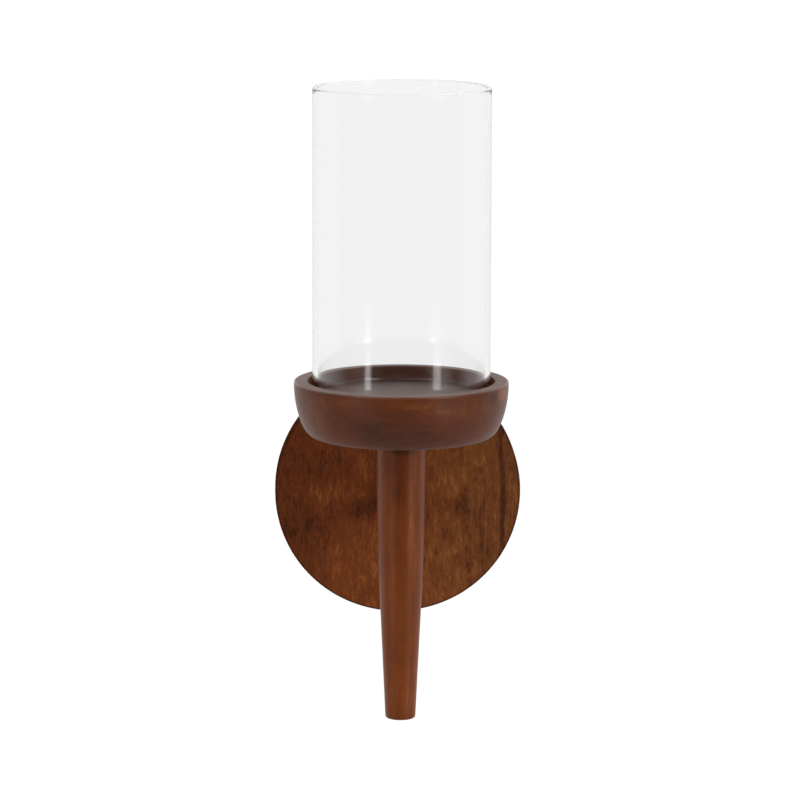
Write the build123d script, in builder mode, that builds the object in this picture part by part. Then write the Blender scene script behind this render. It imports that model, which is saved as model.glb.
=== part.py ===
from build123d import *
import os

# Wall sconce for one candle, in millimetres: a turned backplate, a short arm, a tapering stem and
# a shallow cup of wood, with an open glass sleeve standing loose in a seat in the cup.
# Origin: centre of the backplate's back face, which lies on the wall.
# +X is to the right, +Y goes into the wall and +Z is up.

# ---------------------------------------------------------------- driving dimensions

plate_radius = 75.0
plate_thickness = 15.0
plate_front_round = 1.6
plate_back_chamfer = 0.8

stem_offset = 81.0  # wall to stem axis
stem_radius = 14.5
stem_waist_radius = 12.4  # where the swelling ends and the straight taper begins
stem_waist_z = -53.9
stem_swell_z = -15.4  # where the tangents at the top and at the waist meet
stem_tip_radius = 9.0
stem_tip_z = -125.5
stem_tip_round = 1.6

cup_rim_z = 79.5
cup_radius = 63.65
cup_height = 33.3
cup_foot_radius = 52.2
cup_foot_rise = 0.35  # slight dome of the underside
seat_radius = 55.5
seat_depth = 7.3
rim_outer_round = 1.1
rim_inner_round = 0.6

glass_radius = 52.75
glass_wall = 3.0
glass_height = 181.5
glass_lip_round = 1.4
glass_base_round = 0.9

arm_radius = 11.0
arm_socket_depth = 3.0  # how far the arm sits in the backplate
arm_seat_offset = 8.5  # stem axis to the flat the arm bears on
socket_clearance = 0.1

bolt_radius = 3.0
bolt_length = 80.0
bolt_clearance = 0.25
bolt_head_radius = 5.25
bolt_head_height = 3.3
bolt_head_flat_radius = 2.9
hex_across_flats = 4.0
hex_depth = 2.0
washer_radius = 9.0
washer_thickness = 1.6
counterbore_radius = 10.0
counterbore_depth = 6.0

insert_radius = 4.3
insert_length = 12.0
top_insert_length = 18.0
thread_clearance = 0.05
hole_spare = 0.5  # how much deeper a blind hole is than the piece in it
stud_below = 20.0
stud_above = 12.0

pin_radius = 1.5
pin_length = 12.0
pin_in_end = 4.0  # length of pin in the backplate or the stem, the rest is in the arm
pin_drop = 7.4  # pins lie this far under the arm's axis
pin_clearance = 0.05

hanger_x = 36.0
hanger_z = 28.0
hanger_length = 34.0
hanger_width = 14.0
hanger_thickness = 1.5
hanger_sink = 0.3  # plate surface below the back face
hanger_clearance = 0.25
key_entry_radius = 4.25
key_slot_width = 4.5
key_entry_drop = 3.5  # entry hole below the plate's middle
key_slot_rise = 5.0  # end of slot above the plate's middle
relief_width = 10.4
relief_depth = 7.5

screw_spacing = 26.0
screw_radius = 1.5
screw_head_radius = 3.0
screw_head_height = 1.5
screw_length = 10.0
screw_tip_length = 2.2
screw_clearance = 0.1
cross_length = 3.4
cross_width = 0.8
cross_depth = 1.0

# ---------------------------------------------------------------- places that follow from them

cup_base_z = cup_rim_z - cup_height
seat_z = cup_rim_z - seat_depth
arm_rear = plate_thickness - arm_socket_depth  # distances from the wall, along -Y
arm_front = stem_offset - arm_seat_offset
arm_length = arm_front - arm_rear
insert_hole_radius = insert_radius + thread_clearance
screw_rows = {"upper": hanger_z + screw_spacing / 2, "lower": hanger_z - screw_spacing / 2}
hanger_sides = {"left": -hanger_x, "right": hanger_x}

wall = Plane.XZ  # its offset is the distance in front of the wall; local x, y are X, Z
stem_section = wall.offset(stem_offset)  # half-sections of the turned pieces: x is the radius
stem_axis = Axis((0, -stem_offset, 0), (0, 0, 1))
arm_axis = Axis((0, 0, 0), (0, 1, 0))
back_face = Plane(origin=(0, 0, 0), x_dir=(-1, 0, 0), z_dir=(0, 1, 0))

os.makedirs("parts", exist_ok=True)


# ---------------------------------------------------------------- backplate

with BuildPart() as backplate:
    with BuildSketch(wall):
        Circle(plate_radius)
    extrude(amount=plate_thickness)
    fillet(backplate.edges().sort_by(Axis.Y)[0], plate_front_round)
    chamfer(backplate.edges().sort_by(Axis.Y)[-1], plate_back_chamfer)

    # arm bolt: counterbore in the back, clearance hole right through
    with Locations(back_face.location):
        CounterBoreHole(bolt_radius + bolt_clearance, counterbore_radius, counterbore_depth)

    # shallow socket for the arm in the front, with the rear pin's hole in its floor
    with BuildSketch(wall.offset(plate_thickness)):
        Circle(arm_radius + socket_clearance)
    extrude(amount=-arm_socket_depth, mode=Mode.SUBTRACT)
    with BuildSketch(wall.offset(arm_rear)):
        with Locations((0, -pin_drop)):
            Circle(pin_radius + pin_clearance)
    extrude(amount=-(pin_in_end + hole_spare / 2), mode=Mode.SUBTRACT)

    # each keyhole hanger: a stadium recess, a deeper relief for the wall screw's head, pilot holes
    for hanger_centre in hanger_sides.values():
        with BuildSketch(wall):
            with Locations((hanger_centre, hanger_z)):
                SlotOverall(
                    hanger_length + 2 * hanger_clearance,
                    hanger_width + 2 * hanger_clearance,
                    rotation=90,
                )
        extrude(amount=hanger_sink + hanger_thickness, mode=Mode.SUBTRACT)
        with BuildSketch(wall):
            with Locations((hanger_centre, hanger_z + (key_slot_rise - key_entry_drop) / 2)):
                SlotCenterToCenter(key_slot_rise + key_entry_drop, relief_width, rotation=90)
        extrude(amount=relief_depth, mode=Mode.SUBTRACT)
        with BuildSketch(wall):
            with Locations(*[(hanger_centre, row_z) for row_z in screw_rows.values()]):
                Circle(screw_radius + screw_clearance)
        extrude(amount=hanger_sink + screw_length + hole_spare, mode=Mode.SUBTRACT)

backplate.part.label = "backplate"
export_step(backplate.part, "parts/backplate.step")


# ---------------------------------------------------------------- spacer arm

with BuildPart() as spacer_arm:
    with BuildSketch(wall.offset(arm_rear)):
        Circle(arm_radius)
        Circle(bolt_radius + bolt_clearance, mode=Mode.SUBTRACT)
    extrude(amount=arm_length)

    # pin holes in both ends
    with BuildSketch(wall.offset(arm_rear), wall.offset(arm_front - (pin_length - pin_in_end) - hole_spare)):
        with Locations((0, -pin_drop)):
            Circle(pin_radius + pin_clearance)
    extrude(amount=pin_length - pin_in_end + hole_spare, mode=Mode.SUBTRACT)

spacer_arm.part.label = "spacer_arm"
export_step(spacer_arm.part, "parts/spacer_arm.step")


# ---------------------------------------------------------------- stem

with BuildPart() as stem:
    # half-section: nearly straight at the top, a long swelling, then a straight taper to the tip
    with BuildSketch(stem_section):
        with BuildLine():
            Line((0, cup_base_z), (stem_radius, cup_base_z))
            Bezier(
                (stem_radius, cup_base_z),
                (stem_radius, stem_swell_z),
                (stem_waist_radius, stem_waist_z),
            )
            Line((stem_waist_radius, stem_waist_z), (stem_tip_radius, stem_tip_z))
            Line((stem_tip_radius, stem_tip_z), (0, stem_tip_z))
            Line((0, stem_tip_z), (0, cup_base_z))
        make_face()
    revolve(axis=stem_axis)
    fillet(stem.edges().sort_by(Axis.Z)[0], stem_tip_round)

    # flat-bottomed socket in the back for the arm, with the insert's and the front pin's holes
    with BuildSketch(wall.offset(arm_front)):
        Circle(arm_radius + socket_clearance)
    extrude(amount=-stem_radius, mode=Mode.SUBTRACT)
    with BuildSketch(wall.offset(arm_front)):
        Circle(insert_hole_radius)
    extrude(amount=insert_length + hole_spare, mode=Mode.SUBTRACT)
    with BuildSketch(wall.offset(arm_front)):
        with Locations((0, -pin_drop)):
            Circle(pin_radius + pin_clearance)
    extrude(amount=pin_in_end + hole_spare / 2, mode=Mode.SUBTRACT)

    # hole in the top for the threaded insert and the stud
    with BuildSketch(Plane((0, -stem_offset, cup_base_z))):
        Circle(insert_hole_radius)
    extrude(amount=-(stud_below + hole_spare), mode=Mode.SUBTRACT)

stem.part.label = "stem"
export_step(stem.part, "parts/stem.step")


# ---------------------------------------------------------------- cup

with BuildPart() as cup:
    # half-section: steep wall leaning in to a rounded foot, and a slightly domed underside
    foot_z = cup_base_z + cup_foot_rise
    with BuildSketch(stem_section):
        with BuildLine():
            Line((0, cup_base_z), (stem_radius, cup_base_z))
            Line((stem_radius, cup_base_z), (cup_foot_radius, foot_z))
            Bezier(
                (cup_foot_radius, foot_z),
                (cup_radius - 0.17 * cup_height, foot_z),
                (cup_radius, cup_base_z + 0.5 * cup_height),
                (cup_radius, cup_rim_z - 2 * rim_outer_round),
            )
            Line((cup_radius, cup_rim_z - 2 * rim_outer_round), (cup_radius, cup_rim_z))
            Line((cup_radius, cup_rim_z), (seat_radius, cup_rim_z))
            Line((seat_radius, cup_rim_z), (seat_radius, seat_z))
            Line((seat_radius, seat_z), (0, seat_z))
            Line((0, seat_z), (0, cup_base_z))
        make_face()
    revolve(axis=stem_axis)
    rim_edges = cup.edges().group_by(Axis.Z)[-1].sort_by(SortBy.RADIUS)
    fillet(rim_edges[-1], rim_outer_round)
    fillet(cup.edges().group_by(Axis.Z)[-1].sort_by(SortBy.RADIUS)[0], rim_inner_round)

    # hole in the underside for the threaded insert
    with BuildSketch(Plane((0, -stem_offset, cup_base_z))):
        Circle(insert_hole_radius)
    extrude(amount=insert_length + hole_spare, mode=Mode.SUBTRACT)

cup.part.label = "cup"
export_step(cup.part, "parts/cup.step")


# ---------------------------------------------------------------- glass sleeve, open at both ends

with BuildPart() as glass_cylinder:
    with BuildSketch(Plane((0, -stem_offset, seat_z))):
        Circle(glass_radius)
        Circle(glass_radius - glass_wall, mode=Mode.SUBTRACT)
    extrude(amount=glass_height)
    fillet(glass_cylinder.edges().group_by(Axis.Z)[-1], glass_lip_round)
    fillet(glass_cylinder.edges().group_by(Axis.Z)[0], glass_base_round)

glass_cylinder.part.label = "glass_cylinder"
export_step(glass_cylinder.part, "parts/glass_cylinder.step")


# ---------------------------------------------------------------- arm bolt, washer and its insert

head_base = counterbore_depth - washer_thickness  # distance from the wall

with BuildPart() as arm_bolt:
    # half-section in the horizontal plane: x is the radius, y runs along the bolt
    with BuildSketch(Plane.XY):
        with BuildLine():
            Line((0, -(head_base + bolt_length)), (bolt_radius, -(head_base + bolt_length)))
            Line((bolt_radius, -(head_base + bolt_length)), (bolt_radius, -head_base))
            Line((bolt_radius, -head_base), (bolt_head_radius, -head_base))
            Bezier(
                (bolt_head_radius, -head_base),
                (bolt_head_radius, -head_base + 0.8 * bolt_head_height),
                (bolt_head_flat_radius, -head_base + bolt_head_height),
            )
            Line((bolt_head_flat_radius, -head_base + bolt_head_height), (0, -head_base + bolt_head_height))
            Line((0, -head_base + bolt_head_height), (0, -(head_base + bolt_length)))
        make_face()
    revolve(axis=arm_axis)
    chamfer(arm_bolt.edges().sort_by(Axis.Y)[0], bolt_radius / 4)
    with BuildSketch(wall.offset(head_base - bolt_head_height)):
        RegularPolygon(hex_across_flats / 2, 6, major_radius=False)
    extrude(amount=hex_depth, mode=Mode.SUBTRACT)

arm_bolt.part.label = "arm_bolt"
export_step(arm_bolt.part, "parts/arm_bolt.step")

with BuildPart() as arm_bolt_washer:
    with BuildSketch(wall.offset(head_base)):
        Circle(washer_radius)
        Circle(bolt_radius + bolt_clearance, mode=Mode.SUBTRACT)
    extrude(amount=washer_thickness)
    chamfer(arm_bolt_washer.edges().sort_by(Axis.Y)[-1], washer_thickness / 8)

arm_bolt_washer.part.label = "arm_bolt_washer"
export_step(arm_bolt_washer.part, "parts/arm_bolt_washer.step")

with BuildPart() as stem_side_insert:
    with BuildSketch(wall.offset(arm_front)):
        Circle(insert_radius)
        Circle(bolt_radius + thread_clearance, mode=Mode.SUBTRACT)
    extrude(amount=insert_length)

stem_side_insert.part.label = "stem_side_insert"
export_step(stem_side_insert.part, "parts/stem_side_insert.step")


# ---------------------------------------------------------------- pins that stop the arm turning

for name, pin_start in {
    "arm_pin_rear": arm_rear - pin_in_end,
    "arm_pin_front": arm_front - (pin_length - pin_in_end),
}.items():
    with BuildPart() as arm_pin:
        with BuildSketch(wall.offset(pin_start)):
            with Locations((0, -pin_drop)):
                Circle(pin_radius)
        extrude(amount=pin_length)
        chamfer(arm_pin.edges().filter_by(GeomType.CIRCLE), pin_radius / 5)
    arm_pin.part.label = name
    export_step(arm_pin.part, f"parts/{name}.step")


# ---------------------------------------------------------------- stud between cup and stem

with BuildPart() as cup_stud:
    with BuildSketch(Plane((0, -stem_offset, cup_base_z - stud_below))):
        Circle(bolt_radius)
    extrude(amount=stud_below + stud_above)
    chamfer(cup_stud.edges().filter_by(GeomType.CIRCLE), bolt_radius / 4)

cup_stud.part.label = "cup_stud"
export_step(cup_stud.part, "parts/cup_stud.step")

for name, insert_start, length in (
    ("cup_insert", cup_base_z, insert_length),
    ("stem_top_insert", cup_base_z - top_insert_length, top_insert_length),
):
    with BuildPart() as insert:
        with BuildSketch(Plane((0, -stem_offset, insert_start))):
            Circle(insert_radius)
            Circle(bolt_radius + thread_clearance, mode=Mode.SUBTRACT)
        extrude(amount=length)
    insert.part.label = name
    export_step(insert.part, f"parts/{name}.step")


# ---------------------------------------------------------------- keyhole hangers and their screws

for side, hanger_centre in hanger_sides.items():
    with BuildPart() as hanger:
        with BuildSketch(wall.offset(hanger_sink)):
            with Locations((hanger_centre, hanger_z)):
                SlotOverall(hanger_length, hanger_width, rotation=90)
            with Locations((hanger_centre, hanger_z - key_entry_drop)):
                Circle(key_entry_radius, mode=Mode.SUBTRACT)
            with Locations((hanger_centre, hanger_z + (key_slot_rise - key_entry_drop) / 2)):
                SlotCenterToCenter(
                    key_slot_rise + key_entry_drop, key_slot_width, rotation=90, mode=Mode.SUBTRACT
                )
        extrude(amount=hanger_thickness)
        screw_places = [Pos(-hanger_centre, row_z, -hanger_sink) for row_z in screw_rows.values()]
        with Locations(*[back_face.location * place for place in screw_places]):
            CounterSinkHole(
                screw_radius + screw_clearance,
                screw_head_radius + screw_clearance,
                counter_sink_angle=90,
            )
    hanger.part.label = f"keyhole_hanger_{side}"
    export_step(hanger.part, f"parts/keyhole_hanger_{side}.step")

for side, hanger_centre in hanger_sides.items():
    for row, row_z in screw_rows.items():
        head_y = -(hanger_sink + screw_clearance)
        shank_y = head_y - screw_head_height
        point_y = head_y - screw_length
        with BuildPart() as screw:
            # half-section in the horizontal plane through the screw
            with BuildSketch(Plane((hanger_centre, 0, row_z))):
                with BuildLine():
                    Polyline(
                        (0, head_y),
                        (screw_head_radius, head_y),
                        (screw_radius, shank_y),
                        (screw_radius, point_y + screw_tip_length),
                        (0, point_y),
                        (0, head_y),
                    )
                make_face()
            revolve(axis=Axis((hanger_centre, 0, row_z), (0, 1, 0)))
            with BuildSketch(wall.offset(-head_y)):
                with Locations((hanger_centre, row_z)):
                    Rectangle(cross_length, cross_width)
                    Rectangle(cross_width, cross_length)
            extrude(amount=cross_depth, mode=Mode.SUBTRACT)
        screw.part.label = f"hanger_screw_{side}_{row}"
        export_step(screw.part, f"parts/hanger_screw_{side}_{row}.step")
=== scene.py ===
import math

import bmesh
import bpy
from mathutils import Matrix, Vector, noise


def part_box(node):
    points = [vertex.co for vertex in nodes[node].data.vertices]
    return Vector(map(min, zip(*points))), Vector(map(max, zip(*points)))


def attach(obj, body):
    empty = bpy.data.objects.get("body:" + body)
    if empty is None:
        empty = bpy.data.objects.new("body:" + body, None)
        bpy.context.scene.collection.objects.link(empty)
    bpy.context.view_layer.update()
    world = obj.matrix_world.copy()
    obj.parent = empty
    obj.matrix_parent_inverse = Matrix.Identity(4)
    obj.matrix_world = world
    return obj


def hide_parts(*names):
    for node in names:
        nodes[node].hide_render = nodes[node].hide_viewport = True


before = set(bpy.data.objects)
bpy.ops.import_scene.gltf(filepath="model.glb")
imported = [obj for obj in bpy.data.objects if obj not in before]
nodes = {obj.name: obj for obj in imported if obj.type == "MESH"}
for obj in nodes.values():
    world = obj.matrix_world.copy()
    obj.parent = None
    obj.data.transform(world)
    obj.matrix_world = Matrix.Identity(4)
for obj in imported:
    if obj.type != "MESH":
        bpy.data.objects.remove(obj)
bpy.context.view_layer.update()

# A turned wood wall sconce with a loose clear glass sleeve. Metres, in the CAD frame: the origin
# is on the wall behind the backplate's centre, +X right, +Y into the wall, +Z up.

MM = 0.001

cup_low, cup_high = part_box("cup")
glass_low, glass_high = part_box("glass_cylinder")
stem_low, stem_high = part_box("stem")
arm_low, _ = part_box("spacer_arm")

STEM_AXIS = Vector((0, (stem_low.y + stem_high.y) / 2, 0))


# ---------------------------------------------------------------- camera

SENSOR = 36.0
CAMERA_DISTANCE = 2.417
CAMERA_LENS = 183.5
CAMERA_ELEVATION = math.radians(9.44)
CAMERA_AZIMUTH = math.radians(-1.675)
CAMERA_ROLL = math.radians(0.173)
AIM = Vector((-0.76 * MM, STEM_AXIS.y, cup_high.z - 11.9 * MM))


def make_camera():
    """A long lens a little above the cup and a little to its left."""
    data = bpy.data.cameras.new("camera")
    camera = bpy.data.objects.new("camera", data)
    bpy.context.scene.collection.objects.link(camera)
    data.sensor_width = SENSOR
    data.lens = CAMERA_LENS
    data.clip_start = 0.1
    data.clip_end = 50.0
    back = Vector((
        math.sin(CAMERA_AZIMUTH) * math.cos(CAMERA_ELEVATION),
        -math.cos(CAMERA_AZIMUTH) * math.cos(CAMERA_ELEVATION),
        math.sin(CAMERA_ELEVATION),
    ))
    camera.location = AIM + back * CAMERA_DISTANCE
    camera.rotation_mode = "QUATERNION"
    roll = Matrix.Rotation(CAMERA_ROLL, 3, "Z").to_quaternion()
    camera.rotation_quaternion = (-back).to_track_quat("-Z", "Y") @ roll
    bpy.context.scene.camera = camera


# ---------------------------------------------------------------- shader building blocks


class Graph:
    """A material under construction, with short names for the shader nodes used below."""

    def __init__(self, name):
        self.material = bpy.data.materials.new(name)
        self.material.use_nodes = True
        self.tree = self.material.node_tree
        self.tree.nodes.clear()
        self.shader = self.node("ShaderNodeBsdfPrincipled")
        output = self.node("ShaderNodeOutputMaterial")
        self.tree.links.new(self.shader.outputs[0], output.inputs["Surface"])

    def node(self, kind, inputs=None, **settings):
        made = self.tree.nodes.new(kind)
        for key, value in settings.items():
            setattr(made, key, value)
        for key, value in (inputs or {}).items():
            self.feed(made.inputs[key], value)
        return made

    def feed(self, socket, value):
        if isinstance(value, bpy.types.NodeSocket):
            self.tree.links.new(value, socket)
        else:
            socket.default_value = value

    def set(self, **inputs):
        """Principled inputs, with _ for a space in their names."""
        for key, value in inputs.items():
            self.feed(self.shader.inputs[key.replace("_", " ")], value)

    def millimetres(self, turn=(0, 0, 0)):
        """Object coordinates in millimetres, turned so that the grain runs along Z."""
        coords = self.node("ShaderNodeTexCoord").outputs["Object"]
        return self.scaled(coords, (1 / MM,) * 3, turn)

    def scaled(self, vector, scale, turn=(0, 0, 0), shift=(0, 0, 0)):
        return self.node(
            "ShaderNodeMapping",
            {"Vector": vector, "Scale": scale, "Rotation": turn, "Location": shift},
        ).outputs[0]

    def math(self, operation, a, b=0.0):
        return self.node("ShaderNodeMath", {0: a, 1: b}, operation=operation).outputs[0]

    def vector_math(self, operation, a, b):
        return self.node("ShaderNodeVectorMath", {0: a, 1: b}, operation=operation).outputs[0]

    def vector_length(self, vector):
        made = self.node("ShaderNodeVectorMath", {0: vector}, operation="LENGTH")
        return made.outputs["Value"]

    def axes(self, vector):
        return self.node("ShaderNodeSeparateXYZ", {0: vector}).outputs

    def noise(self, vector, scale=1.0, detail=2.0, roughness=0.5):
        return self.node(
            "ShaderNodeTexNoise",
            {"Vector": vector, "Scale": scale, "Detail": detail, "Roughness": roughness},
        ).outputs

    def cells(self, vector, randomness=1.0):
        return self.node(
            "ShaderNodeTexVoronoi", {"Vector": vector, "Scale": 1.0, "Randomness": randomness}
        ).outputs

    def smooth(self, value, start, end):
        """0 before start, 1 after end, with a smooth step between; start may be above end."""
        low, high = min(start, end), max(start, end)
        ends = (0.0, 1.0) if start < end else (1.0, 0.0)
        return self.node(
            "ShaderNodeMapRange",
            {"Value": value, "From Min": low, "From Max": high, "To Min": ends[0], "To Max": ends[1]},
            interpolation_type="SMOOTHSTEP",
        ).outputs[0]

    def mix(self, factor, a, b):
        """Colour a at factor 0, b at factor 1."""
        made = self.node("ShaderNodeMix", data_type="RGBA")
        self.feed(made.inputs["Factor"], factor)
        self.feed(made.inputs[6], a)
        self.feed(made.inputs[7], b)
        return made.outputs[2]

    def bump(self, height, distance, strength):
        inputs = {"Height": height, "Distance": distance, "Strength": strength}
        return self.node("ShaderNodeBump", inputs).outputs[0]

    def wander(self, place, scale, amount, detail=2.0):
        """place moved about by up to half of amount, in a slow smooth way."""
        drift = self.noise(self.scaled(place, scale), detail=detail)["Color"]
        centred = self.vector_math("SUBTRACT", drift, (0.5, 0.5, 0.5))
        return self.vector_math("ADD", place, self.vector_math("MULTIPLY", centred, amount))


def linear(channel):
    """A display value of 0 to 1 as linear light."""
    return channel / 12.92 if channel <= 0.04045 else ((channel + 0.055) / 1.055) ** 2.4


def tone(red, green, blue, lift=1.0):
    """A base colour from display values of 0 to 255, times lift."""
    return (*[min(1.0, lift * linear(c / 255)) for c in (red, green, blue)], 1.0)


# ---------------------------------------------------------------- material settings

WOOD_LIFT = 1.48
TURNED_ROUGHNESS = 0.32
TURNED_SPECULAR = 0.2
GLASS_CLARITY = 0.985
GLASS_IOR = 1.45
GLASS_GLOSS = (0.12, 0.12, 0.12, 1.0)
GLASS_FOOT_GLOSS = (0.8, 0.8, 0.8, 1.0)
GLASS_FOOT_BAND = (26.5, 23.0)  # millimetres above the foot
LIP_BAND = (1.1, 0.6)  # millimetres below the top
LIP_MATT = 0.85
LIP_ROUGHNESS = 0.4
GROUND_GLASS = (0.93, 0.93, 0.93, 1.0)
SEAT_SHADED_TONE = tone(46, 24, 16, WOOD_LIFT)
SEAT_WALL_LIT_TONE = tone(124, 76, 56, WOOD_LIFT)
SEAT_PAINTED_SHADE = 0.43
SEAT_SPECULAR = 0.35
EDGE_SPECULAR = 0.45
EDGE_POLISH = 0.1
STEM_TONES = (
    tone(62, 25, 3, WOOD_LIFT),
    tone(91, 41, 7, WOOD_LIFT),
    tone(120, 64, 24, WOOD_LIFT),
)
CUP_TONES = (
    tone(50, 22, 8, WOOD_LIFT),
    tone(72, 33, 12, WOOD_LIFT),
    tone(104, 58, 26, WOOD_LIFT),
)

# Lighter and darker patches: centre and size in millimetres across and up, amount. Most are the wood's
# figure; those marked below are painted light and shade.
STEM_FIGURE_AND_SHADING_SPOTS = [
    # painted highlight: a light streak right of the stem's middle, where a reflection runs
    ((6.8, 10), (3.4, 70), 0.16),
    # painted shade: a darker stripe down the stem's middle
    ((-1.5, -10), (4.5, 70), -0.08),
    # painted shadow: a dark band on the stem just under the cup
    ((1, 43), (10, 7), -0.58),
    ((0, -125), (30, 60), 0.04),
]
CUP_FIGURE_AND_SHADING_SPOTS = [
    ((-36, 75), (16, 5), 0.1),
    ((6, 75), (16, 4), 0.12),
    # lighter right side of the cup: wood figure and painted light together
    ((40, 70), (13, 12), 0.14),
    # painted shade: the cup's darker middle
    ((0, 57), (34, 14), -0.27),
    # lighter left side of the cup: wood figure and painted light together
    ((-52, 62), (12, 16), 0.12),
    ((53, 74), (3, 5), -0.25),
    ((59, 75), (4, 6), 0.3),
]
PLATE_FIGURE_AND_SHADING_SPOTS = [
    ((-21, -10), (19, 9), -0.2),
    ((-54, -26), (17, 12), -0.12),
    # painted shade: darker below the cup's left side
    ((-46, 16), (17, 12), -0.1),
    ((38, -14), (17, 9), -0.1),
    ((-68, 0), (20, 70), -0.08),
    # painted shadow: a darker band just below the cup
    ((-32, 40), (40, 16), -0.07),
    ((-42, -3), (24, 7), 0.1),
    ((-22, 12), (7, 14), 0.1),
    ((29, 6), (14, 15), 0.1),
    ((-20, -45), (30, 18), 0.06),
]
SEAT_WALL_PAINTED_LIGHT = 0.45
PLATE_SPECULAR = 0.12
PLATE_ROUGHNESS = 0.42
PLATE_RIM_EDGE = (73.2, 74.6)
PLATE_RIM_TONE = tone(36, 17, 9)
PLATE_PORE_TONE = tone(40, 18, 8, WOOD_LIFT)
PLATE_JOINT_EDGES = ((61.9, 62.7), (68.0, 63.0))
REDDER_TONES = (
    tone(60, 27, 9, WOOD_LIFT),
    tone(92, 44, 17, WOOD_LIFT),
    tone(124, 68, 27, WOOD_LIFT),
)
YELLOWER_TONES = (
    tone(62, 31, 12, WOOD_LIFT),
    tone(98, 55, 25, WOOD_LIFT),
    tone(132, 82, 42, WOOD_LIFT),
)
# painted shade for the metal's corners and recesses: its colour and how far it reaches
METAL_RECESS_SHADE = (0.07, 0.06, 0.05, 1.0)
METAL_RECESS_SHADE_REACH = 2.5 * MM
ZINC = (0.62, 0.62, 0.60, 1)
DULL_ZINC = (0.42, 0.41, 0.38, 1)
BRASS = (0.72, 0.50, 0.20, 1)
DULL_BRASS = (0.45, 0.31, 0.14, 1)


# ---------------------------------------------------------------- materials

ALONG_X = (0, math.radians(90), 0)
ALONG_Y = (math.radians(90), 0, 0)
ALONG_Z = (0, 0, 0)


def fibre(g, place, across, along, detail=3.0, shift=(0, 0, 0)):
    """Noise drawn out along the grain, with sizes in millimetres."""
    stretched = g.scaled(place, (1 / across, 1 / across, 1 / along), shift=shift)
    return g.noise(stretched, detail=detail, roughness=0.6)["Fac"]


def pores(g, place, across, along, width, share):
    """Short dark dashes along the grain: 1 inside a pore. share is the part of cells that hold one."""
    cell = g.cells(g.scaled(place, (1 / across, 1 / across, 1 / along)))
    chosen = g.smooth(g.axes(cell["Color"])[0], share + 0.03, share - 0.03)
    return g.math("MULTIPLY", g.smooth(cell["Distance"], width, width * 0.35), chosen)


def figure(g, parts):
    """Noise layers added up about a middle of 0.5; parts are (noise, weight) pairs."""
    total = None
    for layer, weight in parts:
        swing = g.math("MULTIPLY", g.math("SUBTRACT", layer, 0.5), weight)
        total = g.math("ADD", swing, 0.5) if total is None else g.math("ADD", total, swing)
    return total


def spot(g, place, centre, size, amount):
    """A soft patch on the face, positions in millimetres across and up: amount in its middle."""
    apart = g.vector_math("SUBTRACT", place, (centre[0], 0, centre[1]))
    apart = g.vector_math("DIVIDE", apart, (size[0], 1e6, size[1]))
    away = g.vector_length(apart)
    return g.math("MULTIPLY", g.smooth(away, 1.2, 0.3), amount)


def plate_figure(g, straight, place, wavy, fine):
    """How light the plate's wood is (0.5 on average), with its slow mottle and its fine dashes, and
    with painted shade and a painted shadow below the cup from the listed patches.
    """
    x, _, z = g.axes(straight)
    mottle = g.noise(g.scaled(place, (0.15, 0.15, 0.09)), detail=3.0, roughness=0.55)["Fac"]
    ribbon = fibre(g, wavy, 2.0, 11, 2.0, shift=(3, 1, 8))
    dash = fibre(g, fine, 0.9, 3.6, 2.0)
    hair = fibre(g, fine, 0.45, 7.0, 1.0, shift=(7, 3, 1))
    value = figure(g, [(mottle, 0.5), (ribbon, 0.75), (dash, 0.7), (hair, 0.35)])
    # the listed patches: wood figure, and painted shade and a painted shadow below the cup
    for centre, size, amount in PLATE_FIGURE_AND_SHADING_SPOTS:
        value = g.math("ADD", value, spot(g, wavy, centre, size, amount))

    stripe = fibre(g, place, 4.5, 160, 2.0)
    stripes = g.math("MULTIPLY", g.smooth(stripe, 0.5, 0.66), g.smooth(x, 14, 55))
    value = g.math("SUBTRACT", value, g.math("MULTIPLY", stripes, 0.2))
    across = g.axes(place)[0]
    left, right = PLATE_JOINT_EDGES
    joint = g.math("MULTIPLY", g.smooth(across, *left), g.smooth(across, *right))
    depth = g.math("ADD", g.math("MULTIPLY", g.smooth(z, 14, -8), 0.16), 0.08)
    return g.math("SUBTRACT", value, g.math("MULTIPLY", joint, depth)), mottle, dash


def plate_colour(g, x, value, mottle):
    """The wood's colour from how light it is: redder on the left, yellower on the right."""
    side = g.math("ADD", g.math("MULTIPLY", x, 0.012), g.math("MULTIPLY", mottle, 0.8))
    yellow = g.smooth(side, 0.1, 1.1)
    dark, middle, light = [g.mix(yellow, a, b) for a, b in zip(REDDER_TONES, YELLOWER_TONES)]
    ground = g.mix(g.smooth(value, 0.12, 0.52), dark, middle)
    return g.mix(g.smooth(value, 0.5, 0.92), ground, light)


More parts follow.
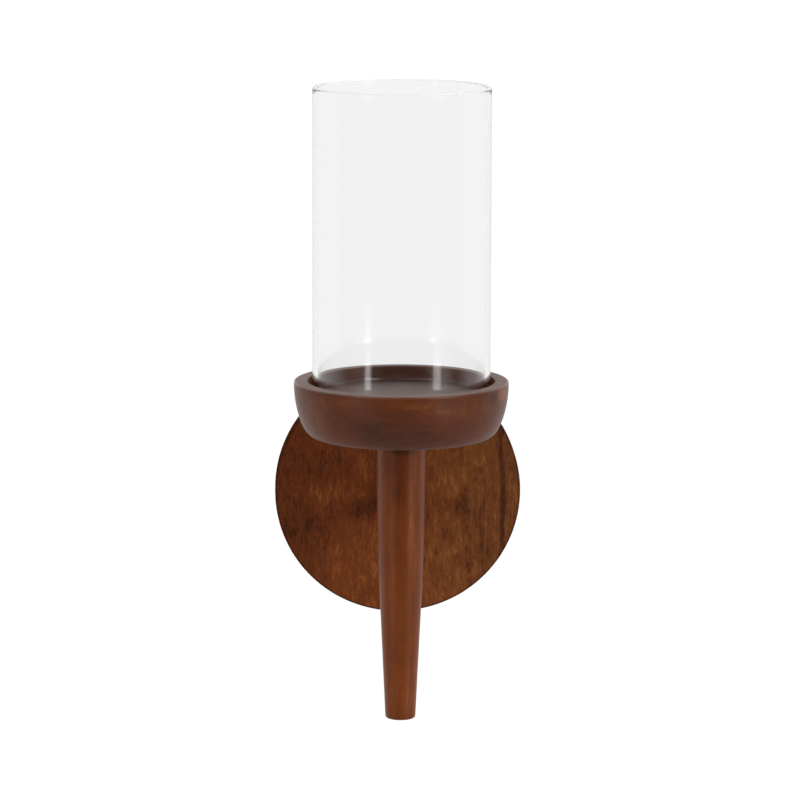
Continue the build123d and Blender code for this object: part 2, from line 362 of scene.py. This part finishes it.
def plate_wood():
    """Open-pored brown hardwood with its grain upright: mottled, redder left, striped right."""
    g = Graph("plate_wood")
    straight = g.millimetres()
    place = g.wander(straight, (0.035, 0.035, 0.02), (9, 9, 6))
    wavy = g.wander(place, (0.22, 0.22, 0.12), (2.6, 2.6, 2.0))
    fine = g.wander(wavy, (0.7, 0.7, 0.3), (0.9, 0.9, 1.2))
    value, mottle, dash = plate_figure(g, straight, place, wavy, fine)
    ground = plate_colour(g, g.axes(straight)[0], value, mottle)

    pore = g.math(
        "MAXIMUM", pores(g, fine, 1.1, 5.0, 0.3, 0.6), pores(g, fine, 0.7, 3.0, 0.3, 0.5)
    )
    ground = g.mix(g.math("MULTIPLY", pore, 0.26), ground, PLATE_PORE_TONE)
    radius = g.vector_length(g.vector_math("MULTIPLY", straight, (1, 0, 1)))
    rim = g.smooth(radius, *PLATE_RIM_EDGE)
    ground = g.mix(g.math("MULTIPLY", rim, 0.65), ground, PLATE_RIM_TONE)

    rough = g.math("ADD", g.math("MULTIPLY", dash, 0.16), g.math("MULTIPLY", pore, 0.25))
    relief = g.math("SUBTRACT", g.math("MULTIPLY", dash, 0.6), pore)
    g.set(
        Base_Color=ground,
        Roughness=g.math("ADD", rough, PLATE_ROUGHNESS),
        Specular_IOR_Level=g.math("MULTIPLY", g.smooth(radius, 74.2, 73.0), PLATE_SPECULAR),
        Normal=g.bump(relief, 0.1 * MM, 0.7),
    )
    return g.material


def turned_wood(name, turn, colours, lines, spots=()):
    """Closely sanded, satin-lacquered hardwood: soft clouds, faint lines along the grain, few pores.

    colours are the shade, ground and light tones; lines is how strongly the grain shows.
    """
    g = Graph(name)
    shade, ground, light = colours
    straight = g.millimetres()
    along = g.millimetres(turn)
    place = g.wander(along, (0.03, 0.03, 0.012), (8, 8, 8))
    fine = g.wander(place, (0.25, 0.25, 0.06), (1.0, 1.0, 1.0))

    cloud = g.noise(g.scaled(place, (0.06, 0.06, 0.03)), detail=4.0, roughness=0.55)["Fac"]
    grain = fibre(g, place, 3.2, 45, 3.0)
    line = fibre(g, fine, 0.6, 14, 3.0, shift=(2, 5, 3))
    fleck = fibre(g, fine, 0.8, 3.0, 2.0, shift=(6, 2, 9))
    value = figure(g, [(cloud, 0.7), (grain, lines), (line, 0.8 * lines), (fleck, 0.4 * lines)])
    # the listed patches: wood figure, and on the stem and cup also painted highlights, shade and
    # shadow
    for centre, size, amount in spots:
        value = g.math("ADD", value, spot(g, straight, centre, size, amount))
    colour = g.mix(g.smooth(value, 0.1, 0.55), shade, ground)
    colour = g.mix(g.smooth(value, 0.5, 0.95), colour, light)
    pore = pores(g, fine, 1.0, 5.0, 0.2, 0.3)
    colour = g.mix(g.math("MULTIPLY", pore, 0.3), colour, shade)

    smudge = g.noise(g.scaled(straight, (0.06, 0.06, 0.06)), detail=3.0)["Fac"]
    rough = g.math("ADD", g.math("MULTIPLY", smudge, 0.1), g.math("MULTIPLY", line, 0.06))
    relief = g.math("SUBTRACT", g.math("MULTIPLY", line, 0.5), pore)
    g.set(
        Base_Color=colour,
        Roughness=g.math("ADD", rough, TURNED_ROUGHNESS),
        Specular_IOR_Level=TURNED_SPECULAR,
        Normal=g.bump(relief, 0.03 * MM, 0.4),
    )
    return g


def cup_wood():
    """The cup's turned wood, with the seat's floor glossier where the lacquer pools and darker with
    painted shade, and the seat's inner wall lighter with painted light.
    """
    g = turned_wood("cup_wood", ALONG_X, CUP_TONES, 0.35, CUP_FIGURE_AND_SHADING_SPOTS)
    place = g.vector_math("SUBTRACT", g.millimetres(), STEM_AXIS / MM)
    radius = g.vector_length(g.vector_math("MULTIPLY", place, (1, 1, 0)))
    height = g.axes(place)[2]
    floor = (cup_high.z - SEAT_DEPTH) / MM
    inside = g.smooth(radius, SEAT_RADIUS / MM + 0.8, SEAT_RADIUS / MM + 0.3)
    # the seat floor's mask: glossier lacquer there, and painted shade
    lacquer_pool_and_shade = g.math("MULTIPLY", inside, g.smooth(height, floor + 0.9, floor + 0.4))
    lacquer_pool_and_shade = g.math("MULTIPLY", lacquer_pool_and_shade, g.smooth(height, floor - 4, floor - 2))
    wall = g.math("MULTIPLY", inside, g.smooth(height, floor + 0.4, floor + 0.9))
    wall = g.math("MULTIPLY", wall, g.smooth(height, floor + 7.1, floor + 6.8))
    colour = g.shader.inputs["Base Color"].links[0].from_socket
    # painted shade: the seat's floor darkened
    colour = g.mix(g.math("MULTIPLY", lacquer_pool_and_shade, SEAT_PAINTED_SHADE), colour, SEAT_SHADED_TONE)
    # painted light: the seat's inner wall lightened
    colour = g.mix(g.math("MULTIPLY", wall, SEAT_WALL_PAINTED_LIGHT), colour, SEAT_WALL_LIT_TONE)
    outer, rim = (cup_high.x - cup_low.x) / 2 / MM, cup_high.z / MM
    edge = g.math(
        "MULTIPLY", g.smooth(radius, outer - 1.4, outer - 0.8), g.smooth(height, rim - 1.3, rim - 0.7)
    )
    pooled = g.math("MULTIPLY", lacquer_pool_and_shade, SEAT_SPECULAR - TURNED_SPECULAR)
    rubbed = g.math("MULTIPLY", edge, EDGE_SPECULAR - TURNED_SPECULAR)
    rough = g.shader.inputs["Roughness"].links[0].from_socket
    g.set(
        Base_Color=colour,
        Specular_IOR_Level=g.math("ADD", g.math("ADD", pooled, rubbed), TURNED_SPECULAR),
        Roughness=g.math("SUBTRACT", rough, g.math("MULTIPLY", edge, EDGE_POLISH)),
    )
    return g.material


def bare_wood(name, turn):
    """Pale unfinished hardwood of the pins."""
    g = Graph(name)
    place = g.millimetres(turn)
    line = fibre(g, place, 0.5, 12)
    colour = g.mix(g.smooth(line, 0.3, 0.7), tone(196, 160, 112), tone(160, 120, 78))
    g.set(
        Base_Color=colour,
        Roughness=g.math("ADD", g.math("MULTIPLY", line, 0.2), 0.55),
        Normal=g.bump(line, 0.05 * MM, 0.5),
    )
    return g.material


def metal(name, colour, dull, roughness):
    """Plated or machined metal with fine scratches, duller blotches, and painted shade darkening its
    corners and recesses.
    """
    g = Graph(name)
    place = g.millimetres()
    blotch = g.noise(g.scaled(place, (0.35, 0.35, 0.35)), detail=4.0)["Fac"]
    scratch = g.noise(g.scaled(place, (6, 6, 0.5)), detail=3.0)["Fac"]
    # painted shade: corners and recesses darkened from the ambient occlusion, and made less metallic
    reach = {"Distance": METAL_RECESS_SHADE_REACH}
    open_sky = g.node("ShaderNodeAmbientOcclusion", reach, samples=8).outputs["AO"]
    recess_shade = g.smooth(open_sky, 0.85, 0.35)
    plated = g.mix(g.smooth(blotch, 0.35, 0.7), colour, dull)
    g.set(
        Base_Color=g.mix(g.math("MULTIPLY", recess_shade, 0.9), plated, METAL_RECESS_SHADE),
        Metallic=g.math("SUBTRACT", 1.0, g.math("MULTIPLY", recess_shade, 0.6)),
        Roughness=g.math("ADD", g.math("MULTIPLY", blotch, 0.25), roughness),
        Normal=g.bump(scratch, 0.02 * MM, 0.4),
    )
    return g.material


def clear_glass():
    """Clear drawn glass, faintly uneven, with a trace of handling haze and a ground, matt lip.

    Its reflections are weaker than real glass gives, most of all above the foot.
    """
    g = Graph("clear_glass")
    place = g.millimetres()
    height = g.axes(place)[2]
    haze = g.noise(g.scaled(place, (0.03, 0.03, 0.03)), detail=4.0)["Fac"]
    wave = g.noise(g.scaled(place, (0.05, 0.05, 0.012)), detail=1.0)["Fac"]
    top, foot = glass_high.z / MM, glass_low.z / MM
    lip = g.smooth(height, top - LIP_BAND[0], top - LIP_BAND[1])
    band = g.smooth(height, foot + GLASS_FOOT_BAND[0], foot + GLASS_FOOT_BAND[1])
    worn = g.math("MULTIPLY", g.smooth(haze, 0.5, 0.9), 0.03)
    gloss = g.mix(band, GLASS_GLOSS, GLASS_FOOT_GLOSS)
    clear = (GLASS_CLARITY, GLASS_CLARITY, GLASS_CLARITY, 1.0)
    g.set(
        Base_Color=g.mix(lip, clear, GROUND_GLASS),
        Transmission_Weight=g.math("SUBTRACT", 1.0, g.math("MULTIPLY", lip, LIP_MATT)),
        IOR=GLASS_IOR,
        Specular_Tint=gloss,
        Roughness=g.math("ADD", worn, g.math("MULTIPLY", lip, LIP_ROUGHNESS)),
        Normal=g.bump(wave, 0.05 * MM, 0.15),
    )
    return g.material


# ---------------------------------------------------------------- turned shapes

TURNED_SEGMENTS = 192


def curve(points, steps):
    """Points along a Bezier curve, both ends included."""
    out = []
    for i in range(steps + 1):
        row = [Vector(p) for p in points]
        while len(row) > 1:
            row = [a.lerp(b, i / steps) for a, b in zip(row, row[1:])]
        out.append(tuple(row[0]))
    return out


def rounding(centre, radius, start, end, steps=6):
    """Points along an arc, angles in degrees from the outward radius direction."""
    angles = [math.radians(start + (end - start) * i / steps) for i in range(steps + 1)]
    return [(centre[0] + radius * math.cos(a), centre[1] + radius * math.sin(a)) for a in angles]


def spaced(start, end, steps):
    """Points from just after start up to end."""
    return [tuple(Vector(start).lerp(Vector(end), (i + 1) / steps)) for i in range(steps)]


def lathe(name, outline, closed, wobble=0.0):
    """A solid turned about the stem axis from (radius, height) points.

    An open outline starts and ends on the axis; a closed one makes a ring. wobble is how far,
    at most, the radius falls short here and there, as hand sanding or drawing leaves it.
    """
    mesh = bmesh.new()
    rings = []
    for radius, height in outline:
        if radius < 1e-9:
            rings.append([mesh.verts.new((0, STEM_AXIS.y, height))])
            continue
        ring = []
        for i in range(TURNED_SEGMENTS):
            angle = 2 * math.pi * i / TURNED_SEGMENTS
            way = Vector((math.cos(angle), math.sin(angle), 0))
            wave = noise.noise(Vector((way.x * 1.3, way.y * 1.3, height * 18)))
            short = wobble * (0.5 + 0.5 * wave)
            point = STEM_AXIS + way * (radius - short) + Vector((0, 0, height))
            ring.append(mesh.verts.new(point))
        rings.append(ring)
    pairs = list(zip(rings, rings[1:]))
    if closed:
        pairs.append((rings[-1], rings[0]))
    for lower, upper in pairs:
        for i in range(TURNED_SEGMENTS):
            j = (i + 1) % TURNED_SEGMENTS
            if len(lower) == 1 and len(upper) > 1:
                mesh.faces.new((lower[0], upper[j], upper[i]))
            elif len(upper) == 1 and len(lower) > 1:
                mesh.faces.new((lower[i], lower[j], upper[0]))
            elif len(lower) > 1:
                mesh.faces.new((lower[i], lower[j], upper[j], upper[i]))
    bmesh.ops.recalc_face_normals(mesh, faces=mesh.faces)
    return finished(mesh, name)


CREASE = math.radians(32)


def finished(mesh, name):
    """The bmesh as an object of the scene, smooth but for edges sharper than the crease angle."""
    data = bpy.data.meshes.new(name)
    mesh.to_mesh(data)
    mesh.free()
    data.polygons.foreach_set("use_smooth", [True] * len(data.polygons))
    data.set_sharp_from_angle(angle=CREASE)
    made = bpy.data.objects.new(name, data)
    bpy.context.scene.collection.objects.link(made)
    return made


def adopt(piece, material, body, slot, *replaced):
    """Gives a new piece its material and body, in place of the CAD pieces named in replaced."""
    piece.data.materials.clear()
    piece.data.materials.append(material)
    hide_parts(*replaced)
    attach(piece, body)


# ---------------------------------------------------------------- glass sleeve

GLASS_WALL = 3.0 * MM
GLASS_LIP = 1.4 * MM
GLASS_FOOT = 0.9 * MM


def glass_outline():
    """The sleeve's wall in section: fire-polished foot, straight sides, rounded lip."""
    outer = (glass_high.x - glass_low.x) / 2
    inner = outer - GLASS_WALL
    foot, lip = glass_low.z, glass_high.z
    points = rounding((outer - GLASS_FOOT, foot + GLASS_FOOT), GLASS_FOOT, -90, 0)
    points += spaced(points[-1], (outer, lip - GLASS_LIP), 48)[:-1]
    points += rounding((outer - GLASS_LIP, lip - GLASS_LIP), GLASS_LIP, 0, 90, 8)
    points += rounding((inner + GLASS_LIP, lip - GLASS_LIP), GLASS_LIP, 90, 180, 8)
    points += spaced(points[-1], (inner, foot + GLASS_FOOT), 48)[:-1]
    points += rounding((inner + GLASS_FOOT, foot + GLASS_FOOT), GLASS_FOOT, 180, 270)
    return points


# ---------------------------------------------------------------- cup

SEAT_RADIUS = 55.5 * MM
SEAT_DEPTH = 7.3 * MM
SEAT_CORNER = 0.5 * MM
RIM_OUTER = 1.1 * MM
RIM_INNER = 0.6 * MM
INSERT_HOLE = 4.35 * MM
CUP_HOLE_DEPTH = 12.5 * MM
STEM_TOP_RADIUS = 14.5 * MM
CUP_FOOT_RADIUS = 52.2 * MM
CUP_FOOT_RISE = 0.35 * MM


def cup_outline():
    """The bowl in section, from the insert's hole in its underside to the seat's middle."""
    base, rim = cup_low.z, cup_high.z
    height = rim - base
    radius = (cup_high.x - cup_low.x) / 2
    foot = base + CUP_FOOT_RISE
    seat = rim - SEAT_DEPTH
    points = [(0, base + CUP_HOLE_DEPTH), (INSERT_HOLE, base + CUP_HOLE_DEPTH), (INSERT_HOLE, base)]
    points += spaced((INSERT_HOLE, base), (STEM_TOP_RADIUS, base), 2)
    points += spaced((STEM_TOP_RADIUS, base), (CUP_FOOT_RADIUS, foot), 8)
    points += curve(
        [
            (CUP_FOOT_RADIUS, foot),
            (radius - 0.17 * height, foot),
            (radius, base + 0.5 * height),
            (radius, rim - 2 * RIM_OUTER),
        ],
        40,
    )[1:]
    points += rounding((radius - RIM_OUTER, rim - RIM_OUTER), RIM_OUTER, 0, 90)
    points += spaced((radius - RIM_OUTER, rim), (SEAT_RADIUS + RIM_INNER, rim), 4)[:-1]
    points += rounding((SEAT_RADIUS + RIM_INNER, rim - RIM_INNER), RIM_INNER, 90, 180)
    points += spaced((SEAT_RADIUS, rim - RIM_INNER), (SEAT_RADIUS, seat + SEAT_CORNER), 4)[:-1]
    points += rounding((SEAT_RADIUS - SEAT_CORNER, seat + SEAT_CORNER), SEAT_CORNER, 0, -90, 4)
    points += spaced((SEAT_RADIUS - SEAT_CORNER, seat), (0, seat), 14)
    return points


# ---------------------------------------------------------------- stem

STEM_WAIST_RADIUS = 12.4 * MM
STEM_WAIST_Z = -53.9 * MM
STEM_SWELL_Z = -15.4 * MM
STEM_TIP_RADIUS = 9.0 * MM
STEM_TIP_ROUND = 1.6 * MM
STEM_HOLE_DEPTH = 20.5 * MM
ARM_SOCKET_RADIUS = 11.1 * MM
SIDE_HOLE_DEPTH = 12.5 * MM
PIN_HOLE_RADIUS = 1.55 * MM
PIN_HOLE_DEPTH = 4.25 * MM
PIN_Z = -7.4 * MM
SPARE = 1.0 * MM


def stem_outline():
    """The stem in section, from the insert's hole in its top down to the rounded tip."""
    top, tip = stem_high.z, stem_low.z
    slope = (STEM_WAIST_RADIUS - STEM_TIP_RADIUS) / (STEM_WAIST_Z - tip)
    side = STEM_TIP_RADIUS + slope * STEM_TIP_ROUND
    points = [(0, top - STEM_HOLE_DEPTH), (INSERT_HOLE, top - STEM_HOLE_DEPTH), (INSERT_HOLE, top)]
    points += spaced((INSERT_HOLE, top), (STEM_TOP_RADIUS, top), 3)
    points += curve(
        [
            (STEM_TOP_RADIUS, top),
            (STEM_TOP_RADIUS, STEM_SWELL_Z),
            (STEM_WAIST_RADIUS, STEM_WAIST_Z),
        ],
        48,
    )[1:]
    points += spaced(
        (STEM_WAIST_RADIUS, STEM_WAIST_Z), (side, tip + STEM_TIP_ROUND), 30
    )[:-1]
    points += rounding((side - STEM_TIP_ROUND, tip + STEM_TIP_ROUND), STEM_TIP_ROUND, 0, -90, 8)
    points += spaced(points[-1], (0, tip), 4)
    return points


def cut(piece, cutter):
    """Takes the cutter's shape out of the piece and removes the cutter."""
    modifier = piece.modifiers.new("cut", "BOOLEAN")
    modifier.operation = "DIFFERENCE"
    modifier.solver = "EXACT"
    modifier.object = cutter
    graph = bpy.context.evaluated_depsgraph_get()
    data = bpy.data.meshes.new_from_object(piece.evaluated_get(graph))
    piece.modifiers.clear()
    piece.data = data
    bpy.data.objects.remove(cutter)


def cut_arm_socket(stem):
    """The flat-bottomed socket for the arm, and in its floor the insert's and the pin's holes."""
    floor = arm_low.y
    cut(stem, rod("socket", ARM_SOCKET_RADIUS, floor, 0.0))
    cut(stem, rod("insert_hole", INSERT_HOLE, floor - SIDE_HOLE_DEPTH, floor + SPARE))
    cut(stem, rod("pin_hole", PIN_HOLE_RADIUS, floor - PIN_HOLE_DEPTH, floor + SPARE, PIN_Z))


def rod(name, radius, start, end, z=0.0, segments=64):
    """A plain rod along Y, used only to cut sockets and holes.

    It is turned by half a facet, so that none of its corners meets a corner of the turned piece.
    """
    mesh = bmesh.new()
    place = Matrix.Translation((0, (start + end) / 2, z)) @ Matrix.Rotation(math.pi / 2, 4, "X")
    place = place @ Matrix.Rotation(math.pi / segments, 4, "Z")
    bmesh.ops.create_cone(
        mesh, cap_ends=True, segments=segments, radius1=radius, radius2=radius,
        depth=abs(end - start), matrix=place,
    )
    return finished(mesh, name)


# ---------------------------------------------------------------- hanger screws

SCREW_SEGMENTS = 32
SCREW_RADIUS = 1.5 * MM
SCREW_HEAD_RADIUS = 2.92 * MM
SCREW_HEAD_EDGE = 0.08 * MM
SCREW_HEAD_DEPTH = 1.5 * MM
SCREW_NECK_DEPTH = 1.8 * MM
SCREW_TIP_LENGTH = 2.2 * MM
THREAD_PITCH = 1.2 * MM
THREAD_ROWS = 8
THREAD_SHARE = 0.24
RECESS_LENGTH = 3.4 * MM
RECESS_WIDTH = 0.8 * MM
RECESS_DEPTH = 1.0 * MM
RECESS_TAPER = 0.45
RECESS_SPARE = 0.2 * MM
THREAD_FLANK = 0.3  # share of a turn from the thread's crest to its root


def screw_radius(depth, angle, length):
    """The screw's radius at a depth below its head's face, with the thread's ridge in it."""
    if depth <= SCREW_HEAD_DEPTH:
        share = max(0.0, depth - SCREW_HEAD_EDGE) / (SCREW_HEAD_DEPTH - SCREW_HEAD_EDGE)
        return SCREW_HEAD_RADIUS + share * (SCREW_RADIUS - SCREW_HEAD_RADIUS)
    widest = SCREW_RADIUS * min(1.0, (length - depth) / SCREW_TIP_LENGTH)
    turn = (depth / THREAD_PITCH + angle / (2 * math.pi)) % 1.0
    crest = max(0.0, 1.0 - abs(turn - 0.5) / THREAD_FLANK)
    start = min(1.0, max(0.0, (depth - SCREW_NECK_DEPTH) / (0.5 * THREAD_PITCH)))
    return widest * (1.0 - THREAD_SHARE * (1.0 - crest * start))


def screw_depths(length):
    """Where the screw's rings lie below its head's face: the head's three, then the thread's."""
    step = THREAD_PITCH / THREAD_ROWS
    rows = int((length - SCREW_NECK_DEPTH) / step)
    head = [0.0, SCREW_HEAD_EDGE, SCREW_HEAD_DEPTH]
    return head + [SCREW_NECK_DEPTH + i * step for i in range(rows)]


def threaded_screw(name, low, high):
    """A countersunk screw along Y, its head toward the wall, with a thread and a sharp point."""
    mesh = bmesh.new()
    middle = (low + high) / 2
    length = high.y - low.y
    rings = []
    for depth in screw_depths(length):
        ring = []
        for i in range(SCREW_SEGMENTS):
            angle = 2 * math.pi * i / SCREW_SEGMENTS
            radius = screw_radius(depth, angle, length)
            across = Vector((math.cos(angle), 0, math.sin(angle))) * radius
            ring.append(mesh.verts.new(Vector((middle.x, high.y - depth, middle.z)) + across))
        rings.append(ring)
    point = mesh.verts.new((middle.x, low.y, middle.z))
    mesh.faces.new(rings[0])
    for upper, lower in zip(rings, rings[1:]):
        for i in range(SCREW_SEGMENTS):
            j = (i + 1) % SCREW_SEGMENTS
            mesh.faces.new((upper[i], upper[j], lower[j], lower[i]))
    for i in range(SCREW_SEGMENTS):
        mesh.faces.new((rings[-1][i], rings[-1][(i + 1) % SCREW_SEGMENTS], point))
    bmesh.ops.recalc_face_normals(mesh, faces=mesh.faces)
    screw = finished(mesh, name)
    cut(screw, cross_cutter(middle, high.y))
    return screw


def cross_cutter(middle, face):
    """The tapered cross of the screwdriver's recess, standing a little proud of the head's face."""
    mesh = bmesh.new()
    far, near = RECESS_LENGTH / 2, RECESS_WIDTH / 2
    corners = [(far, near), (near, near), (near, far), (-near, far), (-near, near), (-far, near)]
    corners += [(-x, -z) for x, z in corners]
    rings = []
    for y, scale in ((face + RECESS_SPARE, 1.0), (face - RECESS_DEPTH, RECESS_TAPER)):
        ring = [mesh.verts.new((middle.x + x * scale, y, middle.z + z * scale)) for x, z in corners]
        rings.append(ring)
    mesh.faces.new(rings[0])
    mesh.faces.new(rings[1])
    for i in range(len(corners)):
        j = (i + 1) % len(corners)
        mesh.faces.new((rings[0][i], rings[0][j], rings[1][j], rings[1][i]))
    bmesh.ops.recalc_face_normals(mesh, faces=mesh.faces)
    return finished(mesh, "recess")


# ---------------------------------------------------------------- stage

FLOOR_Z = -1.0
FLOOR_RADIUS = 2.4


def make_floor():
    """A plain pale round floor, well below the part, which hangs on a wall."""
    mesh = bmesh.new()
    bmesh.ops.create_circle(mesh, cap_ends=True, segments=96, radius=FLOOR_RADIUS)
    bmesh.ops.translate(mesh, verts=mesh.verts, vec=(0, 0, FLOOR_Z))
    floor = finished(mesh, "floor")
    g = Graph("floor_paper")
    grain = g.noise(g.millimetres(), scale=0.02, detail=4.0)["Fac"]
    g.set(
        Base_Color=g.mix(grain, (0.76, 0.76, 0.76, 1), (0.8, 0.8, 0.8, 1)),
        Roughness=0.9,
        Emission_Color=(1, 1, 1, 1),
        Emission_Strength=g.math("MULTIPLY", g.node("ShaderNodeLightPath").outputs[0], 0.6),
    )
    floor.data.materials.append(g.material)


# Brightness of the parts of the studio, and the angles in degrees over which they change.
WHITE_LEVEL = 1.03
THROUGH_GLASS_LEVEL = 0.925
BACK_LEVEL = 0.96
BACK_LOW_LEVEL = 0.92
BACK_EDGE = (74, 100)
FRONT_LEVEL = 0.07
SIDE_LEVEL = 0.28
STRIP_TURN = 46.0
STRIP_UPPER = 1.8
STRIP_GAP_FOOT = (-8.7, -8.0)
STRIP_GAP_TOP = (-4, 0)
LEFT_STRIP = (4.0, 4.0)
RIGHT_STRIP = (5.0, 3.8)
SPILL = 0.9
SPILL_EDGE = (54, 74)
UPPER_FRONT = 0.3
UPPER_SIDE = 0.4
TOP_LEVEL = 0.8
UNDER_LEVEL = 0.4
FRONT_EDGE = (22, 40)
UPPER_FRONT_EDGE = (20, 45)
EYE_LEVEL_TOP = (8, 25)
TOP_EDGE = (50, 65)
UNDER_EDGE = (-40, -20)
BACK_RISE = (-6, 2)
STRIP_UPPER_RISE = (2, 8)
STRIP_SOFTNESS = 1.5
SPILL_START = (44, 48)
GAP_LEVEL = 0.1


def make_world():
    """A white studio: bright behind the part, dark in front at eye level, soft light from above.

    Directions are taken as a turn away from the camera side and a rise above the horizon. What
    is seen straight on is white, and what is seen straight through the glass is a light grey.
    """
    world = bpy.data.worlds.new("studio")
    bpy.context.scene.world = world
    world.use_nodes = True
    tree = world.node_tree
    tree.nodes.clear()

    def node(kind, inputs=None, **settings):
        made = tree.nodes.new(kind)
        for key, value in settings.items():
            setattr(made, key, value)
        for key, value in (inputs or {}).items():
            if isinstance(value, bpy.types.NodeSocket):
                tree.links.new(value, made.inputs[key])
            else:
                made.inputs[key].default_value = value
        return made

    def calc(operation, a, b=0.0):
        return node("ShaderNodeMath", {0: a, 1: b}, operation=operation).outputs[0]

    def blend(value, start, end, low, high):
        """low up to start, high past end, either of them a number or a socket."""
        step = node(
            "ShaderNodeMapRange",
            {"Value": value, "From Min": start, "From Max": end},
            interpolation_type="SMOOTHSTEP",
        ).outputs[0]
        return node(
            "ShaderNodeMix", {"Factor": step, 2: low, 3: high}, data_type="FLOAT"
        ).outputs[0]

    way = node("ShaderNodeTexCoord").outputs["Generated"]
    x, y, z = node("ShaderNodeSeparateXYZ", {0: way}).outputs[0:3]
    turn = calc("MULTIPLY", calc("ARCTAN2", x, calc("MULTIPLY", y, -1.0)), 180 / math.pi)
    rise = calc("MULTIPLY", calc("ARCSINE", z), 180 / math.pi)
    aside = calc("ABSOLUTE", turn)

    def strip(centre, half, level):
        away = calc("ABSOLUTE", calc("SUBTRACT", turn, centre))
        return blend(away, half - STRIP_SOFTNESS, half + STRIP_SOFTNESS, level, 0.0)

    strips = calc("ADD", strip(-STRIP_TURN, *LEFT_STRIP), strip(STRIP_TURN, *RIGHT_STRIP))
    spill = blend(turn, *SPILL_EDGE, SPILL, 0.0)
    spill = calc("MULTIPLY", blend(turn, *SPILL_START, 0.0, 1.0), spill)
    strips = calc("ADD", strips, spill)
    gap = blend(rise, *STRIP_GAP_TOP, GAP_LEVEL, 1.0)
    gap = blend(rise, *STRIP_GAP_FOOT, 1.0, gap)
    strips = calc("MULTIPLY", strips, gap)
    strips = calc("MULTIPLY", strips, blend(rise, *STRIP_UPPER_RISE, 1.0, STRIP_UPPER))
    eye_level = calc("ADD", strips, blend(aside, *FRONT_EDGE, FRONT_LEVEL, SIDE_LEVEL))
    above = calc("ADD", strips, blend(aside, *UPPER_FRONT_EDGE, UPPER_FRONT, UPPER_SIDE))
    front = blend(rise, *EYE_LEVEL_TOP, eye_level, above)
    front = blend(rise, *TOP_EDGE, front, TOP_LEVEL)
    front = blend(rise, *UNDER_EDGE, UNDER_LEVEL, front)
    back = blend(rise, *BACK_RISE, BACK_LOW_LEVEL, BACK_LEVEL)
    total = blend(aside, *BACK_EDGE, front, back)

    path = node("ShaderNodeLightPath").outputs
    unreflected = calc("LESS_THAN", path["Glossy Depth"], 0.5)
    straight = calc("MULTIPLY", path["Is Transmission Ray"], unreflected)
    level = blend(straight, 0, 1, total, THROUGH_GLASS_LEVEL)
    level = blend(path["Is Camera Ray"], 0, 1, level, WHITE_LEVEL)
    light = node("ShaderNodeBackground", {"Color": (1, 1, 1, 1), "Strength": level})
    node("ShaderNodeOutputWorld", {"Surface": light.outputs[0]})


# ---------------------------------------------------------------- assembly

make_camera()
make_world()
make_floor()
bpy.context.scene.view_settings.view_transform = "Standard"

steel = metal("zinc_steel", ZINC, DULL_ZINC, 0.22)
brass = metal("insert_brass", BRASS, DULL_BRASS, 0.25)
stem_wood = turned_wood("stem_wood", ALONG_Z, STEM_TONES, 0.5, STEM_FIGURE_AND_SHADING_SPOTS).material
arm_wood = turned_wood("arm_wood", ALONG_Y, STEM_TONES, 0.5).material
pin_wood = bare_wood("pin_wood", ALONG_Y)

CARRIED_OVER = {
    plate_wood(): ["backplate"],
    arm_wood: ["spacer_arm"],
    pin_wood: ["arm_pin_front", "arm_pin_rear"],
    brass: ["cup_insert", "stem_top_insert", "stem_side_insert"],
    steel: [n for n in nodes if n.startswith(("arm_bolt", "keyhole_hanger"))] + ["cup_stud"],
}
for material, names in CARRIED_OVER.items():
    for name in names:
        mesh = nodes[name].data
        mesh.materials.clear()
        mesh.materials.append(material)
        mesh.polygons.foreach_set("use_smooth", [True] * len(mesh.polygons))
        mesh.set_sharp_from_angle(angle=CREASE)

sleeve = lathe("glass_sleeve", glass_outline(), closed=True, wobble=0.04 * MM)
adopt(sleeve, clear_glass(), "glass", "clear_glass", "glass_cylinder")

cup = lathe("turned_cup", cup_outline(), closed=False, wobble=0.05 * MM)
adopt(cup, cup_wood(), "sconce", "turned_wood", "cup")

stem = lathe("turned_stem", stem_outline(), closed=False, wobble=0.05 * MM)
cut_arm_socket(stem)
adopt(stem, stem_wood, "sconce", "turned_wood", "stem")

for node_name in [n for n in nodes if n.startswith("hanger_screw")]:
    screw = threaded_screw("threaded_" + node_name, *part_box(node_name))
    adopt(screw, steel, "sconce", "zinc_steel", node_name)

bpy.context.view_layer.update()
